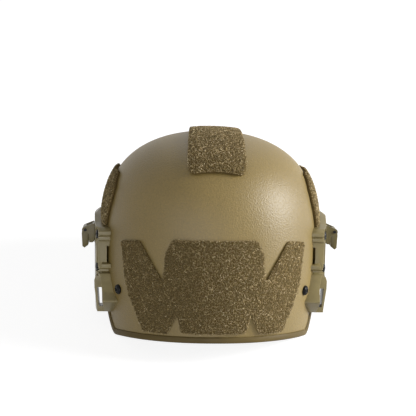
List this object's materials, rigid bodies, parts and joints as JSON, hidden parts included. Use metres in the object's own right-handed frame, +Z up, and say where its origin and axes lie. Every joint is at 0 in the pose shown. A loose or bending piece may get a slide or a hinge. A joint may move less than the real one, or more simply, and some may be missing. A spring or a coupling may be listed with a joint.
{
  "type": "combat helmet",
  "caption": "High-cut ballistic helmet with side rails, strap clips, loop patches, front shroud, edge trim, fitting pads and a stowed chin harness.",
  "frame": {"origin": "middle of the helmet's footprint on the surface that its rim stands on", "axes": "+X to the wearer's right, +Y to the front, +Z up from the surface; the helmet stands on its brow and its two rear corners, tipped nose-down"},
  "size_m": [0.2658, 0.2858, 0.1894],
  "materials": {
    "shell_coating": "fine pebbled satin coating",
    "trim_rubber": "satin rubber",
    "loop_pile": "matte brushed loop pile",
    "rail_plastic": "satin moulded polymer",
    "black_metal": "black semi-gloss",
    "black_plastic": "satin moulded polymer",
    "hook_tape": "matte hook tape",
    "pad_cover": "matte knitted cover",
    "cup_cover": "matte moulded fabric",
    "webbing": "matte woven webbing"
  },
  "bodies": {
    "helmet": {"shell": "shell_coating", "edge_trim": "trim_rubber", "crown_loop_patch": "loop_pile", "rear_loop_patch": "loop_pile", "side_loop_patch_right": "loop_pile", "side_loop_patch_left": "loop_pile", "rail_right": "rail_plastic", "rail_left": "rail_plastic", "rail_screws_right": "black_metal", "rail_screws_left": "black_metal", "rail_nuts_right": "black_metal", "rail_nuts_left": "black_metal", "harness_bolts": "black_metal", "harness_nuts": "black_metal", "strap_clip_base_right": "rail_plastic", "strap_clip_base_left": "rail_plastic", "strap_clip_pin_right": "black_metal", "strap_clip_pin_left": "black_metal", "front_shroud": "black_metal", "shroud_screws": "black_metal", "shroud_nuts": "black_metal", "hook_discs": "hook_tape", "crown_pad": "pad_cover", "front_pad": "pad_cover", "rear_pad": "pad_cover", "rear_side_pad_right": "pad_cover", "rear_side_pad_left": "pad_cover", "front_side_pad_right": "pad_cover", "front_side_pad_left": "pad_cover", "nape_pad": "pad_cover", "nape_strap_right": "webbing", "nape_strap_left": "webbing", "rear_strap_right": "webbing", "rear_strap_left": "webbing", "front_strap_right": "webbing", "front_strap_left": "webbing", "strap_adjuster_right": "black_plastic", "strap_adjuster_left": "black_plastic", "chin_strap_right": "webbing", "chin_strap_left": "webbing", "buckle_socket": "black_plastic", "buckle_webbing": "webbing", "chin_cup": "cup_cover"},
    "clip_loop_right": {"strap_clip_loop_right": "rail_plastic"},
    "clip_loop_left": {"strap_clip_loop_left": "rail_plastic"},
    "buckle_tongue": {"buckle_plug": "black_plastic"}
  },
  "joints": [
    {"name": "clip_swing_right", "type": "hinge", "parent": "helmet", "child": "clip_loop_right", "pos_m": [0.12882, -0.01119, 0.08339], "axis": [-0.0273, -0.9625, 0.27], "range_deg": [0, 80]},
    {"name": "clip_swing_left", "type": "hinge", "parent": "helmet", "child": "clip_loop_left", "pos_m": [-0.12882, -0.01119, 0.08339], "axis": [-0.0273, 0.9625, -0.27], "range_deg": [0, 80]},
    {"name": "buckle_pull", "type": "slide", "parent": "helmet", "child": "buckle_tongue", "axis": [0.3052, 0.9169, -0.2572], "range_m": [0, 0.016], "deforming": ["buckle_webbing"]}
  ]
}
